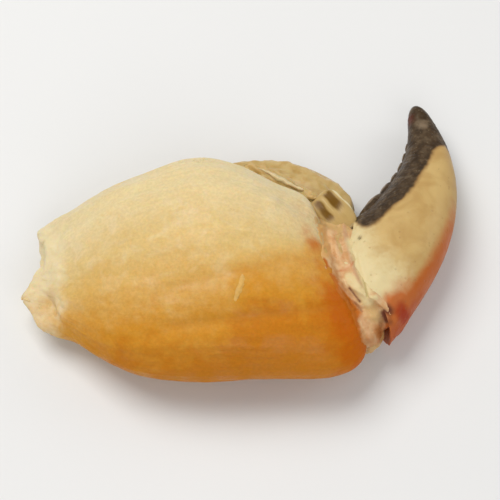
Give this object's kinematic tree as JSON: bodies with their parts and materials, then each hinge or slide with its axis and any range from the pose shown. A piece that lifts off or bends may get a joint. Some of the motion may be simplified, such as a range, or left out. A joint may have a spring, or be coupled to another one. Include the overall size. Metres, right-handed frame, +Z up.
{
  "type": "crab claw",
  "caption": "Shelled crab claw, served cold: a plump lobe of bare palm meat with its hooked, dark-tipped pincer left in the shell.",
  "frame": {"origin": "middle of the footprint, on the surface that the claw lies on", "axes": "+Z up from the surface, +X from the wrist end of the meat towards the pincer, +Y towards the pincer's tip and the gape"},
  "size_m": [0.0751, 0.055, 0.0217],
  "materials": {
    "meat": "moist cooked meat, cream at the far side to orange at the near side, soft fibres under a wet gloss",
    "shell": "cream to tan shell, near black along the gape and at the tip, orange-red low on the back, damp satin",
    "joint": "lumpy white and pinkish tissue, wet",
    "slip": "pale yellow, fibrous, wet",
    "tendon": "clear, olive-grey cartilage with white edges"
  },
  "bodies": {
    "root": {"palm_meat": "meat", "pincer_shell": "shell", "joint_tissue": "joint", "finger_meat_slip": "slip", "tendon_plate": "tendon"}
  },
  "joints": []
}
